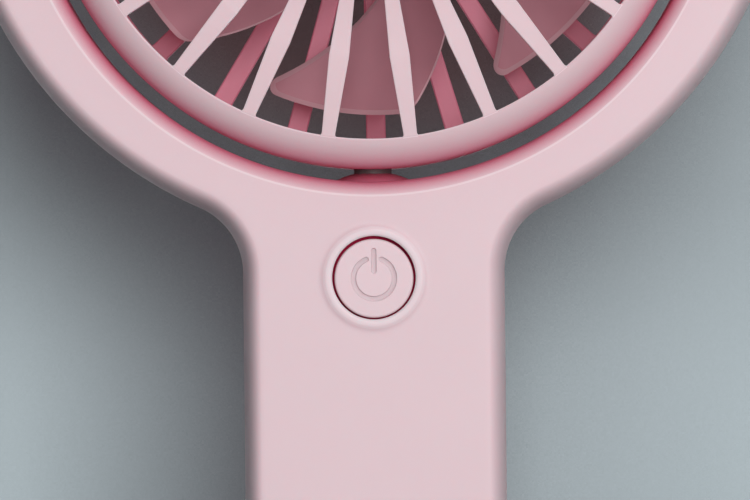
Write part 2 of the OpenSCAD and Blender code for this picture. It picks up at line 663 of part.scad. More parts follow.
module motor_leads_head() upright() for (side = [-1, 1]) color(side > 0 ? "red" : BLACK) {
    x = side * lead_gap;
    low = head_z - duct_r;
    wire([[x, lead_split + 0.6, 0], [x, low + 0.3, 0], [x, low + 0.9, -0.7], [x, low + 0.9, rear_face + 2.2],
        [x, low + 1.4, rear_face - 0.4], [x, low + 1.9, rear_face - 1.7], [x, low + 5, rear_face - 1.7],
        [x, head_z - 12.5, rear_face - 1.7], [x, head_z - 10.4, plate_w + 0.3],
        [x, head_z - 9.9, plate_w + 1]], motor_lead_r);
}
module lead_cover() color(DEEP_PINK) upright() block(-channel_w / 2 + 0.03, channel_w / 2 - 0.03,
    head_z - duct_r + 5.5, head_z - 10.05, -cover_back, 0.9 - cover_back);

// ---- Impeller ----

// One blade is a grid over s, from root to tip, and t, from the rear edge to the front edge.
blade_s = 9;
blade_n = 14;
tip_len = blade_arc * PI / 180 * blade_tip_r;
// How far the rounding of a tip corner lowers the tip, u from where the tip and the edge would meet.
function corner_cut(u, round_r, angle) = let (reach = round_r / tan(angle / 2), in = round_r - u * sin(angle))
    u > reach ? 0 : cos(edge_slant) * (reach - u * cos(angle) - sqrt(max(0, pow(round_r, 2) - pow(in, 2))));
function tip_r(t) = blade_tip_r - tip_fall * (1 - t)
    - corner_cut(t * tip_len, rear_corner_r, 90 - edge_slant)
    - corner_cut((1 - t) * tip_len, front_corner_r, 90 + edge_slant);
function blade_r(s, t) = hub_r + s * (tip_r(t) - hub_r);
function blade_h(r) = blade_root_h + (blade_tip_h - blade_root_h) * (r - hub_r) / (blade_tip_r - hub_r);
function blade_turn(d, t) = (1 - t) * (rear_sweep + rear_curve * d) * d + t * front_sweep * d;
function blade_point(s, t, side) = let (r = blade_r(s, t),
        a = blade_phase - 90 + (t - 0.5) * blade_arc + blade_turn(r - blade_tip_r, t),
        w = blade_mid + (t - 0.5) * blade_h(r) - blade_camber * sin(180 * t) + side * blade_t / 2)
    [r * cos(a), r * sin(a), w];
function across(j) = (1 - cos(180 * j / (blade_n - 1))) / 2;
function grid(side) = [for (i = [0 : blade_s - 1]) for (j = [0 : blade_n - 1])
    blade_point(i / (blade_s - 1), across(j), side)];
function id(i, j, side) = side * blade_s * blade_n + i * blade_n + j;
// Two triangles over the corners a, b, c, d of a patch, facing one way or the other.
function patch(a, b, c, d, flip) = flip ? [[a, c, b], [a, d, c]] : [[a, b, c], [a, c, d]];
module blade() polyhedron(concat(grid(1), grid(-1)), concat(
    [for (i = [0 : blade_s - 2]) for (j = [0 : blade_n - 2]) for (side = [0, 1])
        each patch(id(i, j, side), id(i, j + 1, side), id(i + 1, j + 1, side), id(i + 1, j, side),
            side == 1)],
    [for (j = [0 : blade_n - 2]) for (i = [0, blade_s - 1])
        each patch(id(i, j, 0), id(i, j + 1, 0), id(i, j + 1, 1), id(i, j, 1), i == 0)],
    [for (i = [0 : blade_s - 2]) for (j = [0, blade_n - 1])
        each patch(id(i, j, 0), id(i + 1, j, 0), id(i + 1, j, 1), id(i, j, 1), j > 0)]));
module impeller_hub() color(SMOKE) upright() {
    turned() difference() {
        union() {
            translate([0, stator_back - 0.8]) square([hub_r, hub_front - 1.5 - stator_back + 0.8]);
            translate([0, hub_front - 1.5]) square([hub_r - 1.5, 1.5]);
            translate([hub_r - 1.5, hub_front - 1.5]) circle(1.5, $fn = 48);
        }
        translate([0, stator_back - 2]) square([yoke_r + 0.02, hub_front - 1.4 - stator_back + 2]);
    }
    turned() translate([shaft_r, yoke_front - 0.7]) square([2.55 - shaft_r, hub_front - yoke_front]);
}
module impeller_blades() color(SMOKE) upright() around(blade_count) blade();

front_shell();
rear_shell();
front_grip();
rear_grip();
power_button();
switch_plunger();
tact_switch();
control_board();
board_components();
charge_board();
usb_socket();
usb_tongue();
charge_light();
battery();
battery_board();
battery_pad();
battery_leads();
charge_leads();
motor_leads_handle();
shell_screws();
screw_plugs();
lower_bush();
upper_bush();
lower_wave_washer();
upper_wave_washer();
front_rim();
front_grille();
rear_rim();
rear_grille();
grille_cap();
lower_spindle();
upper_spindle();
stop_plate();
spindle_clips();
motor_board();
bearing_tube();
bearing_outer_rings();
bearing_balls();
stator_core();
stator_windings();
motor_leads_head();
lead_cover();
impeller_hub();
impeller_blades();
rotor_yoke();
magnet_ring();
motor_shaft();
bearing_inner_rings();
shaft_clip();
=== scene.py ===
"""Handheld electric fan: its visible surfaces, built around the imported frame. Lengths are in mm."""
import math

import bmesh
import bpy
from mathutils import Matrix, Vector, geometry


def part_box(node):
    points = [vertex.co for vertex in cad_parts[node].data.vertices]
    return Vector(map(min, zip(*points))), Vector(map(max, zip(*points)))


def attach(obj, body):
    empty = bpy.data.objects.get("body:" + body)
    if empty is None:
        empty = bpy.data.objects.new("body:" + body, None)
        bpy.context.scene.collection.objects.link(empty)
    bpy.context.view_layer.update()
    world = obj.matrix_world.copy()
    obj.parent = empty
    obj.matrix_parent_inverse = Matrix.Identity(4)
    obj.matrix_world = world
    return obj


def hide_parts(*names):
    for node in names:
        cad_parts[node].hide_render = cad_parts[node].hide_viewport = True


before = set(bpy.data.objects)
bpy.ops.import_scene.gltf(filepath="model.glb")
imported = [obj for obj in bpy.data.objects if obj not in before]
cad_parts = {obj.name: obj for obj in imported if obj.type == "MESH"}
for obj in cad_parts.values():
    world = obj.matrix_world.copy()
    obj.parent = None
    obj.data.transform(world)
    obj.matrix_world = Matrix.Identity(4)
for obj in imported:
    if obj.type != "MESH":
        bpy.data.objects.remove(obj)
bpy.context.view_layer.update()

MM = 0.001
TURN = 2 * math.pi


def span(node):
    """Lowest and highest corner of a CAD node, in mm."""
    low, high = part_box(node)
    return low / MM, high / MM


# ---- Sizes, from the CAD nodes where a node's box gives them ----

RIM_LOW, RIM_HIGH = span("front_rim")
RING_HIGH = span("front_shell")[1]
GRIP_LOW, GRIP_HIGH = span("front_grip")
BUTTON_LOW, BUTTON_HIGH = span("power_button")
CAP_HIGH = span("grille_cap")[1]
HUB_LOW, HUB_HIGH = span("impeller_hub")

HEAD_Z = (RIM_LOW.z + RIM_HIGH.z) / 2
HEAD_R = (RIM_HIGH.x - RIM_LOW.x) / 2
RING_R = RING_HIGH.x
OUTLINE_Z = RING_HIGH.z - RING_R
HALF_W = GRIP_HIGH.x
HALF_D = -GRIP_LOW.y
BUTTON_Z = (BUTTON_LOW.z + BUTTON_HIGH.z) / 2
BUTTON_TOP = -BUTTON_LOW.y

FOOT_R = 7.0
NECK_R = 9.5
NECK_X = HALF_W + NECK_R
NECK_Z = OUTLINE_Z - math.sqrt((RING_R + NECK_R) ** 2 - NECK_X ** 2)
WALL = 1.8
BORE_R = 45.4
MOUTH_R = 2.6
MOUTH_CREASE = math.radians(20)
MOUTH_W = HALF_D - MOUTH_R * math.cos(MOUTH_CREASE)
MOUTH_CREASE_R = BORE_R + MOUTH_R * (1 - math.sin(MOUTH_CREASE))
CREASE_HIGHLIGHT_BAND = 0.3
EDGE_IN = 2.4
EDGE_W = 2.0
PART_LINE = 0.12
BUTTON_R = 5.22
BUTTON_BORE = 5.52
BUTTON_DROP = 0.1
LIP_R = 6.78
LIP_CREST_R = 6.38
ICON_R = 2.7
ICON_GAP = 21.8
BAR_LOW = 0.97
BAR_LENGTH = 2.69
STROKE_HALF = 0.33
STROKE_DEPTH = 0.2
LANYARD = (12.4, 6.6)
LANYARD_R = 1.75
SLOT_HALF_GAP = 2.87
SLOT_R = 1.9
SLOT_W = 0.2
LIGHT_X = 7.8
LIGHT_R = 0.95
LOWER_PIVOT_R = 3.53
UPPER_PIVOT_R = 3.03
PLUG_R = 2.22
PLUG_DEPTH = 1.45
SCREW_X = 12.9
SCREW_LOW_Z = 16.5
RING_SCREWS = (-15, 50, 130, 195)

RIM_R = 5.0
RIM_FRONT = 8.0
RIM_REAR = 9.5
OPENING_R = 39.8
RIM_FACE = RIM_FRONT + math.sqrt(RIM_R ** 2 - (OPENING_R - HEAD_R + RIM_R) ** 2)
DUCT_R = 41.9
RIBS = 23
GRILLE_HUB_R = 14.0
KNEE_R = 29.2
KNEE_HALF = 1.32
ROOT_HALF = 0.87
RIB_T = 1.6
RIB_CROWN = 0.07
RIB_TOP = RIM_FACE + 1.1
FRONT_TURN = math.radians(-0.6)
REAR_TURN = math.radians(0.7)


def at(x, z, w):
    """A point across, up and in front of the ring's middle plane, in the row frame in metres."""
    return Vector((x * MM, -w * MM, z * MM))


# ---- Mesh helpers ----

def finish_mesh(name, bm, sharp=32):
    """Makes an object of a closed bmesh, with smooth shading that breaks at angles over sharp degrees."""
    bmesh.ops.recalc_face_normals(bm, faces=bm.faces)
    mesh = bpy.data.meshes.new(name)
    bm.to_mesh(mesh)
    bm.free()
    mesh.shade_smooth()
    mesh.set_sharp_from_angle(angle=math.radians(sharp))
    made = bpy.data.objects.new(name, mesh)
    bpy.context.scene.collection.objects.link(made)
    return made


def bridge(bm, a, b):
    """Quads between two loops of the same length."""
    for i in range(len(a)):
        j = (i + 1) % len(a)
        bm.faces.new((a[i], a[j], b[j], b[i]))


def bridge_all(bm, loops):
    for a, b in zip(loops, loops[1:]):
        bridge(bm, a, b)


def fill_between(bm, outer, holes):
    """Triangles over a flat region that lies inside outer and outside each hole."""
    rings = [outer, *holes]
    corners = [v for ring in rings for v in ring]
    for tri in geometry.tessellate_polygon([[v.co for v in ring] for ring in rings]):
        bm.faces.new([corners[i] for i in tri])


def rounded(corners, closed=True, steps=6):
    """A polyline through corners (x, y, radius), with an arc at each corner that has a radius."""
    made = []
    count = len(corners)
    for i, (x, y, r) in enumerate(corners):
        here = Vector((x, y))
        if r == 0 or (not closed and i in (0, count - 1)):
            made.append((x, y))
            continue
        back = (Vector(corners[i - 1][:2]) - here).normalized()
        ahead = (Vector(corners[(i + 1) % count][:2]) - here).normalized()
        half = back.angle(ahead) / 2
        reach = r / math.tan(half)
        centre = here + (back + ahead).normalized() * (r / math.sin(half))
        start = here + back * reach - centre
        end = here + ahead * reach - centre
        turn = start.angle_signed(end)
        for k in range(steps + 1):
            p = centre + Matrix.Rotation(-turn * k / steps, 2) @ start
            made.append((p.x, p.y))
    return made


def revolve(bm, profile, centre_z, steps=240, closed=True):
    """Turns a profile of (radius, w) about the axis that runs front to back at centre_z."""
    poles = {i: bm.verts.new(at(0, centre_z, w)) for i, (r, w) in enumerate(profile) if r < 1e-6}

    def ring(k):
        a = TURN * k / steps
        return [poles[i] if i in poles else bm.verts.new(at(r * math.cos(a), centre_z + r * math.sin(a), w))
                for i, (r, w) in enumerate(profile)]

    rings = [ring(k) for k in range(steps)]
    count = len(profile)
    for k in range(steps):
        a, b = rings[k], rings[(k + 1) % steps]
        for i in range(count if closed else count - 1):
            j = (i + 1) % count
            corners = list(dict.fromkeys((a[i], a[j], b[j], b[i])))
            if len(corners) > 2:
                bm.faces.new(corners)


def circle(bm, centre, r, w, steps=96):
    x, z = centre
    return [bm.verts.new(at(x + r * math.cos(TURN * k / steps), z + r * math.sin(TURN * k / steps), w))
            for k in range(steps)]


def beam(bm, stations, turn, centre_z):
    """A straight rib along a radius. Each station is (r, half width, low w, high w, bevel)."""
    rings = []
    for r, half, low, high, cut in stations:
        section = ((-half, low + cut), (-half + cut, low), (half - cut, low), (half, low + cut),
                   (half, high - cut), (half - cut, high), (-half + cut, high), (-half, high - cut))
        rings.append([bm.verts.new(at(r * math.cos(turn) - u * math.sin(turn),
                                      centre_z + r * math.sin(turn) + u * math.cos(turn), w))
                      for u, w in section])
    bridge_all(bm, rings)
    bm.faces.new(rings[0])
    bm.faces.new(rings[-1])


def tube_cutter(bm, a, b, r, steps=48):
    """A plain closed cylinder from a to b (row frame, metres), for a Boolean cut."""
    axis = (b - a).normalized()
    side = axis.orthogonal().normalized()
    other = axis.cross(side)
    ends = []
    for p in (a, b):
        spokes = [side * math.cos(TURN * k / steps) + other * math.sin(TURN * k / steps)
                  for k in range(steps)]
        ends.append([bm.verts.new(p + spoke * r * MM) for spoke in spokes])
    bridge(bm, *ends)
    bm.faces.new(ends[0])
    bm.faces.new(ends[1])


def combine(piece, other_bm, operation, sharp=32):
    """An exact Boolean of piece with the closed solids of other_bm, applied to its mesh."""
    other = finish_mesh("other", other_bm)
    change = piece.modifiers.new("combine", "BOOLEAN")
    change.operation = operation
    change.solver = "EXACT"
    change.object = other
    bpy.context.view_layer.update()
    shown = bpy.context.evaluated_depsgraph_get()
    made = bpy.data.meshes.new_from_object(piece.evaluated_get(shown))
    piece.modifiers.clear()
    old = piece.data
    piece.data = made
    made.name = piece.name
    bpy.data.meshes.remove(old)
    bpy.data.objects.remove(other)
    made.shade_smooth()
    made.set_sharp_from_angle(angle=math.radians(sharp))


# ---- Materials ----

def finish_of(name, colour, rough=(0.4, 0.5), tone=0.05, patch=14.0, grain=0.3, depth=0.003, nook=None,
              nook_reach=12, nook_range=(0.3, 0.98), nook_bend=1.0, clear_of=None, **sockets):
    """A moulded or machined surface: its colour and roughness drift over patch mm, over a fine grain.

    tone is how much the colour drifts, and grain and depth are the grain's size and height in mm. The shade
    colour
    is painted shade: a deeper colour painted in where other surfaces close in on it. Its reach is how near
    they are in mm, its range the share of open space where the painted shade is full and where it starts, and
    its bend below 1 brings it on sooner. clear_of is the two heights in mm between which the painted shade
    fades in, so that the floor has no part in it."""
    made = bpy.data.materials.new(name)
    made.use_nodes = True
    nodes, links = made.node_tree.nodes, made.node_tree.links
    shader = nodes["Principled BSDF"]
    place = nodes.new("ShaderNodeTexCoord")

    def noise(size, detail):
        node = nodes.new("ShaderNodeTexNoise")
        node.inputs["Scale"].default_value = 1 / (size * MM)
        node.inputs["Detail"].default_value = detail
        links.new(place.outputs["Object"], node.inputs["Vector"])
        return node.outputs["Fac"]

    def above(value, low, high):
        height = nodes.new("ShaderNodeSeparateXYZ")
        links.new(place.outputs["Object"], height.inputs["Vector"])
        rise = nodes.new("ShaderNodeMapRange")
        rise.inputs["From Min"].default_value = low * MM
        rise.inputs["From Max"].default_value = high * MM
        links.new(height.outputs["Z"], rise.inputs["Value"])
        product = nodes.new("ShaderNodeMath")
        product.operation = "MULTIPLY"
        links.new(value, product.inputs[0])
        links.new(rise.outputs["Result"], product.inputs[1])
        return product.outputs["Value"]

    drift = noise(patch, 3.0)
    mix = nodes.new("ShaderNodeMix")
    mix.data_type = "RGBA"
    mix.inputs["A"].default_value = (*[c * (1 - tone) for c in colour], 1)
    mix.inputs["B"].default_value = (*[min(1, c * (1 + tone)) for c in colour], 1)
    links.new(drift, mix.inputs["Factor"])
    links.new(mix.outputs["Result"], shader.inputs["Base Color"])
    # Painted shade: the colour deepens towards the shade colour where the occlusion finds other surfaces
    # close by.
    if nook:
        open_share = nodes.new("ShaderNodeAmbientOcclusion")
        open_share.samples = 8
        open_share.inputs["Distance"].default_value = nook_reach * MM
        closeness = nodes.new("ShaderNodeMapRange")
        closeness.inputs["From Min"].default_value = nook_range[1]
        closeness.inputs["From Max"].default_value = nook_range[0]
        links.new(open_share.outputs["AO"], closeness.inputs["Value"])
        bend = nodes.new("ShaderNodeMath")
        bend.operation = "POWER"
        bend.inputs[1].default_value = nook_bend
        links.new(closeness.outputs["Result"], bend.inputs[0])
        share = bend.outputs["Value"]
        if clear_of:
            share = above(share, *clear_of)
        painted_shade_mix = nodes.new("ShaderNodeMix")
        painted_shade_mix.data_type = "RGBA"
        painted_shade_mix.inputs["B"].default_value = (*nook, 1)
        links.new(mix.outputs["Result"], painted_shade_mix.inputs["A"])
        links.new(share, painted_shade_mix.inputs["Factor"])
        links.new(painted_shade_mix.outputs["Result"], shader.inputs["Base Color"])

    fine = noise(grain, 4.0)
    gloss = nodes.new("ShaderNodeMapRange")
    gloss.inputs["From Min"].default_value = 0.3
    gloss.inputs["From Max"].default_value = 0.7
    gloss.inputs["To Min"].default_value = rough[0]
    gloss.inputs["To Max"].default_value = rough[1]
    links.new(fine, gloss.inputs["Value"])
    links.new(gloss.outputs["Result"], shader.inputs["Roughness"])

    bump = nodes.new("ShaderNodeBump")
    bump.inputs["Strength"].default_value = 0.6
    bump.inputs["Distance"].default_value = depth * MM
    links.new(fine, bump.inputs["Height"])
    links.new(bump.outputs["Normal"], shader.inputs["Normal"])
    for key, value in sockets.items():
        shader.inputs[key.replace("_", " ")].default_value = value
    return made


PINK = (0.79, 0.595, 0.638)
HEAD_PINK = (0.79, 0.58, 0.622)
# Painted shade colours, which the plastics take where other surfaces close in on them.
SHADE_PINK = (0.62, 0.17, 0.26)
HEAD_SHADE_PINK = (1.0, 0.17, 0.32)
REAR_SHADE_PINK = (0.60, 0.19, 0.27)
# Painted highlight colours, paler than the pink: the walls of the head's openings, the button's lip and the
# ring's crease.
OPENING_HIGHLIGHT_PINK = (0.93, 0.73, 0.78)
CREST_HIGHLIGHT_PINK = (0.83, 0.675, 0.715)
LIP_HIGHLIGHT_PINK = (0.81, 0.635, 0.677)
CREASE_HIGHLIGHT_PINK = (0.83, 0.65, 0.69)


def plastic(name, colour, **more):
    """The satin pink moulding that most of the object is made of, by default with painted shade where other
    surfaces close in on it.
    """
    values = dict(rough=(0.42, 0.52), tone=0.012, Specular_IOR_Level=0.4, Subsurface_Weight=0.3,
                  Subsurface_Radius=(1.0, 0.3, 0.35), Subsurface_Scale=0.0012, nook=SHADE_PINK,
                  clear_of=(15, 45))
    values.update(more)
    return finish_of(name, colour, **values)


# ---- Body skins ----

def outline():
    """The body's outline, anticlockwise from the base's left: (x, z, outward normal x, z) for each point."""
    points = []

    def line(a, b, normal, pitch=4.0):
        count = max(2, round((Vector(b) - Vector(a)).length / pitch))
        for k in range(1, count):
            points.append((*Vector(a).lerp(Vector(b), k / count), *normal))

    def arc(x, z, r, start, end, pitch, hollow=False):
        count = max(3, math.ceil(abs(end - start) / pitch))
        for k in range(count + 1):
            a = math.radians(start + (end - start) * k / count)
            n = -1 if hollow else 1
            c, s = math.cos(a), math.sin(a)
            points.append((x + r * c, z + r * s, n * c, n * s))

    corner = HALF_W - FOOT_R
    neck = math.degrees(math.atan2(OUTLINE_Z - NECK_Z, -NECK_X))
    line((-corner, 0), (corner, 0), (0, -1))
    arc(corner, FOOT_R, FOOT_R, -90, 0, 5)
    line((HALF_W, FOOT_R), (HALF_W, NECK_Z), (1, 0))
    arc(NECK_X, NECK_Z, NECK_R, 180, neck, 4, hollow=True)
    points.pop()
    arc(0, OUTLINE_Z, RING_R, neck - 180, 360 - neck, 1.5)
    points.pop()
    arc(-NECK_X, NECK_Z, NECK_R, 180 - neck, 0, 4, hollow=True)
    line((-HALF_W, NECK_Z), (-HALF_W, FOOT_R), (-1, 0))
    arc(-corner, FOOT_R, FOOT_R, 180, 270, 5)
    return points


def edge_profile():
    """The body's outer edge as (distance in from the outline, w): tight at the face and slow at the side."""
    steps = 14
    made = [(PART_LINE, 0), (0, PART_LINE), (0, 1.0), (0, EDGE_W)]
    for k in range(1, steps + 1):
        a = math.pi / 2 * k / steps
        made.append((EDGE_IN * (1 - math.cos(a)), EDGE_W + (HALF_D - EDGE_W) * math.sin(a)))
    return made + [(EDGE_IN + 0.5, HALF_D)]


def mouth_profile():
    """The ring's bore as (radius, w), from the flat face in past the crease and back to the parting plane."""
    centre = BORE_R + MOUTH_R
    crease = MOUTH_CREASE_R
    made = [(crease + 0.28, HALF_D), (crease + 0.06, HALF_D), (crease + 0.01, HALF_D - 0.01)]
    steps = 12
    for k in range(1, steps + 1):
        a = MOUTH_CREASE + (math.pi / 2 - MOUTH_CREASE) * k / steps
        made.append((centre - MOUTH_R * math.sin(a), MOUTH_W + MOUTH_R * math.cos(a)))
    return made + [(BORE_R, PART_LINE), (BORE_R + PART_LINE, 0)]


def button_profile():
    """The soft lip round the power button and the bore inside it, from the flat face inwards."""
    lip = HALF_D + 0.25
    foot = [(7.75, HALF_D), (7.45, HALF_D), (7.2, HALF_D + 0.012), (6.98, HALF_D + 0.05),
            (LIP_R, HALF_D + 0.12), (6.58, HALF_D + 0.19)]
    crest = [(LIP_CREST_R, lip - 0.008), (6.1, lip), (5.85, lip - 0.004), (5.72, lip - 0.03),
             (5.62, lip - 0.08)]
    bore = [(BUTTON_BORE, lip - 0.18), (BUTTON_BORE, 6.5), (6.95, 6.5), (6.95, HALF_D - WALL)]
    return foot + crest + bore


def body_skin(name, side):
    """One half of the body as a hollow moulding. side is 1 for the front and -1 for the rear."""
    bm = bmesh.new()
    edge = outline()
    floor = HALF_D - WALL

    def rim(inset, w):
        return [bm.verts.new(at(x - nx * inset, z - nz * inset, side * w)) for x, z, nx, nz in edge]

    def rounds(centre, profile, steps):
        loops = [circle(bm, centre, r, side * w, steps) for r, w in profile]
        bridge_all(bm, loops)
        return loops

    outside = [rim(inset, w) for inset, w in edge_profile()]
    inside = [rim(WALL, 0), rim(WALL, floor)]
    bridge_all(bm, outside)
    bridge_all(bm, inside)
    bridge(bm, outside[0], inside[0])
    bore = rounds((0, HEAD_Z), mouth_profile() + [(BORE_R + WALL, 0), (BORE_R + WALL, floor)], 300)
    hole_mouth = [(2.45, HALF_D), (2.2, HALF_D), (1.98, HALF_D - 0.05), (1.82, HALF_D - 0.18),
                  (LANYARD_R, HALF_D - 0.42)]
    hole = rounds(LANYARD, hole_mouth + [(LANYARD_R, 0), (2.9, 0), (2.9, floor)], 48)
    face_holes, floor_holes = [bore[0], hole[0]], [bore[-1], hole[-1]]
    if side > 0:
        button = rounds((0, BUTTON_Z), button_profile(), 128)
        face_holes.append(button[0])
        floor_holes.append(button[-1])
    fill_between(bm, outside[-1], face_holes)
    fill_between(bm, inside[-1], floor_holes)
    made = finish_mesh(name, bm)
    combine(made, body_openings(side), "DIFFERENCE")
    return made


def stadium(bm, half_gap, r, centre_w, z0, z1):
    """A closed bar with round ends that runs up from z0 to z1, for the charging slot's cut."""
    loops = []
    steps = 24
    for z in (z0, z1):
        loop = []
        for end in (1, -1):
            for k in range(steps + 1):
                a = math.pi * (k / steps - 0.5) + (0 if end > 0 else math.pi)
                x = end * half_gap + r * math.cos(a)
                loop.append(bm.verts.new(at(x, z, centre_w + r * math.sin(a))))
        loops.append(loop)
    bridge(bm, *loops)
    bm.faces.new(loops[0])
    bm.faces.new(loops[1])


def screw_places():
    """Where the shells' eight screws stand, (x, z)."""
    handle = [(side * SCREW_X, z) for z in (SCREW_LOW_Z, BUTTON_Z + 0.6) for side in (-1, 1)]
    ring = []
    for degrees in RING_SCREWS:
        a = math.radians(degrees)
        r = 50.4 + 1.2 * math.sin(a)
        ring.append((r * math.cos(a), HEAD_Z + r * math.sin(a)))
    return handle + ring


def body_openings(side):
    """Cuts for the charging slot, the light, the two pivots and, at the rear, the screw plugs' pockets."""
    bm = bmesh.new()
    base = WALL + 0.7
    stadium(bm, SLOT_HALF_GAP, SLOT_R, SLOT_W, -1, base)
    tube_cutter(bm, at(LIGHT_X, -1, 0), at(LIGHT_X, base, 0), LIGHT_R, 32)
    low, high = HEAD_Z - BORE_R, HEAD_Z + BORE_R
    tube_cutter(bm, at(0, low - WALL - 1, 0), at(0, low + 1, 0), LOWER_PIVOT_R)
    tube_cutter(bm, at(0, high - 1, 0), at(0, high + WALL + 1, 0), UPPER_PIVOT_R)
    if side < 0:
        for x, z in screw_places():
            tube_cutter(bm, at(x, z, -HALF_D - 1), at(x, z, -HALF_D + PLUG_DEPTH), PLUG_R)
    return bm


# ---- Power button ----

def stroke_cutter(bm, path, half_width, depth, top):
    """A groove cutter along path, with round ends: wide at the face, narrower and rounded at its floor."""
    low = top - depth
    levels = ((0.2, top + 0.3), (0.03, top), (0.0, top - 0.04), (0.0, low + 0.07), (-0.03, low + 0.02),
              (-0.09, low))
    loops = []
    for grow, w in levels:
        half = half_width + grow
        loop = []
        count = len(path)
        for side, order in ((1, range(count)), (-1, range(count - 1, -1, -1))):
            for i in order:
                ahead = path[min(i + 1, count - 1)] - path[max(i - 1, 0)]
                ahead.normalize()
                loop.append(path[i] + Vector((ahead.y, -ahead.x)) * half * side)
            last = path[-1] if side > 0 else path[0]
            away = (path[-1] - path[-2]) if side > 0 else (path[0] - path[1])
            away.normalize()
            for k in range(1, 8):
                a = math.pi * k / 8
                loop.append(last + (Vector((away.y, -away.x)) * math.cos(a) + away * math.sin(a)) * half)
        loops.append([bm.verts.new(at(p.x, BUTTON_Z + p.y, w)) for p in loop])
    bridge_all(bm, loops)
    bm.faces.new(loops[0])
    bm.faces.new(loops[-1])


def power_button():
    """The round button, with the usual broken ring and bar pressed into its face."""
    bm = bmesh.new()
    back, flange = -BUTTON_HIGH.y, 6.4
    shape = rounded([(0, BUTTON_TOP, 0), (BUTTON_R, BUTTON_TOP, 0.28), (BUTTON_R, flange, 0),
                     (6.1, flange, 0), (6.1, 5.4, 0), (1.5, 5.4, 0), (1.5, back, 0.2), (0, back, 0)],
                    closed=False)
    face = [(r, BUTTON_TOP) for r in (0, 4.9)]
    revolve(bm, face + shape[1:], BUTTON_Z, 128, closed=False)
    made = finish_mesh("power_button_cap", bm)
    grooves = bmesh.new()
    ring = []
    for k in range(61):
        a = math.radians(90 + ICON_GAP + (360 - 2 * ICON_GAP) * k / 60)
        ring.append(Vector((ICON_R * math.cos(a), ICON_R * math.sin(a))))
    stroke_cutter(grooves, ring, STROKE_HALF, STROKE_DEPTH, BUTTON_TOP)
    bar = [Vector((0, BAR_LOW + BAR_LENGTH * k / 6)) for k in range(7)]
    stroke_cutter(grooves, bar, STROKE_HALF, STROKE_DEPTH, BUTTON_TOP)
    combine(made, grooves, "DIFFERENCE")
    made.data.transform(Matrix.Translation((0, 0, -BUTTON_DROP * MM)))
    return made


# ---- Grilles ----

def rim_profile(depth, mouth_round, lip):
    """The head's rim and duct wall as (radius, w), from the seam out to the rim, in to the mouth and back.

    depth is the w of the rim's arc, and lip is the seam's joint, walked from the duct back to the seam."""
    made = [(HEAD_R - 0.12, 0), (HEAD_R, 0.12)]
    centre = HEAD_R - RIM_R
    end = math.acos((OPENING_R + mouth_round - centre) / RIM_R)
    steps = 22
    for k in range(steps + 1):
        a = end * k / steps
        made.append((centre + RIM_R * math.cos(a), depth + RIM_R * math.sin(a)))
    face = made[-1][1]
    for k in range(1, 5):
        a = math.pi / 2 * k / 4
        made.append((OPENING_R + mouth_round * (1 - math.sin(a)), face - mouth_round * (1 - math.cos(a))))
    return made + [(OPENING_R, depth + 1.6), (DUCT_R, depth - 0.8)] + lip


def rim_surface(r):
    """The w of the front rim's arc at a radius, without the small round at its mouth."""
    return RIM_FRONT + math.sqrt(RIM_R ** 2 - (r - HEAD_R + RIM_R) ** 2)


def ribs(stations, first):
    """A closed bar at each of the grille's places, as one bmesh."""
    bm = bmesh.new()
    for k in range(RIBS):
        beam(bm, stations, first + TURN * k / RIBS, HEAD_Z)
    return bm


def rib_height(r):
    """The w of a front rib's ridge: it falls a little to the knee, and then down to the rim's face."""
    if r < KNEE_R:
        return RIB_TOP + (KNEE_R - r) * 0.018
    return RIB_TOP - (r - KNEE_R) * (RIB_TOP - RIM_FACE) / (OPENING_R - KNEE_R)


def front_rib_stations():
    """A front rib from the hub to the rim: widest at the knee, with a small flare where it meets the rim."""
    def station(r, half, top):
        return (r, half, rib_height(min(r, OPENING_R)) - RIB_T, top, RIB_CROWN)

    knee = rib_height(KNEE_R)
    stations = [station(13.2, 0.58, rib_height(13.2)), station(KNEE_R - 0.03, KNEE_HALF, knee),
                station(KNEE_R + 0.03, KNEE_HALF, knee)]
    for back, grow in ((0.4, 0.0), (0.2, 0.03), (0.09, 0.09), (0.02, 0.18)):
        r = OPENING_R - back
        half = KNEE_HALF + (ROOT_HALF - KNEE_HALF) * (r - KNEE_R) / (OPENING_R - KNEE_R)
        stations.append(station(r, half + grow, rib_height(r)))
    for past, sink in ((0.12, 0.0), (0.24, 0.004), (0.36, 0.03), (0.6, 0.3)):
        r = OPENING_R + past
        stations.append(station(r, ROOT_HALF + 0.2, rim_surface(r) - sink))
    return stations


def front_grille():
    """The head's front half: rim, duct wall, kite-shaped ribs and the hub round the cap, as one solid."""
    bm = bmesh.new()
    lip = [(DUCT_R, 0.62), (40.9, 0.62), (40.9, -4), (41.8, -4), (41.8, 0)]
    revolve(bm, rim_profile(RIM_FRONT, 0.22, lip), HEAD_Z, 300)
    made = finish_mesh("front_grille_moulding", bm)
    combine(made, ribs(front_rib_stations(), math.pi / 2 + FRONT_TURN), "UNION")
    hub = bmesh.new()
    top = rib_height(GRILLE_HUB_R) + 0.02
    seat = -CAP_HIGH.y
    shape = [(0, seat, 0), (12.5, seat, 0), (12.5, top, 0.25), (GRILLE_HUB_R, top, 0.35),
             (GRILLE_HUB_R, top - 1.8, 0.3), (0, top - 1.8, 0)]
    revolve(hub, rounded(shape, closed=False), HEAD_Z, 160, closed=False)
    combine(made, hub, "UNION", 28)
    return made


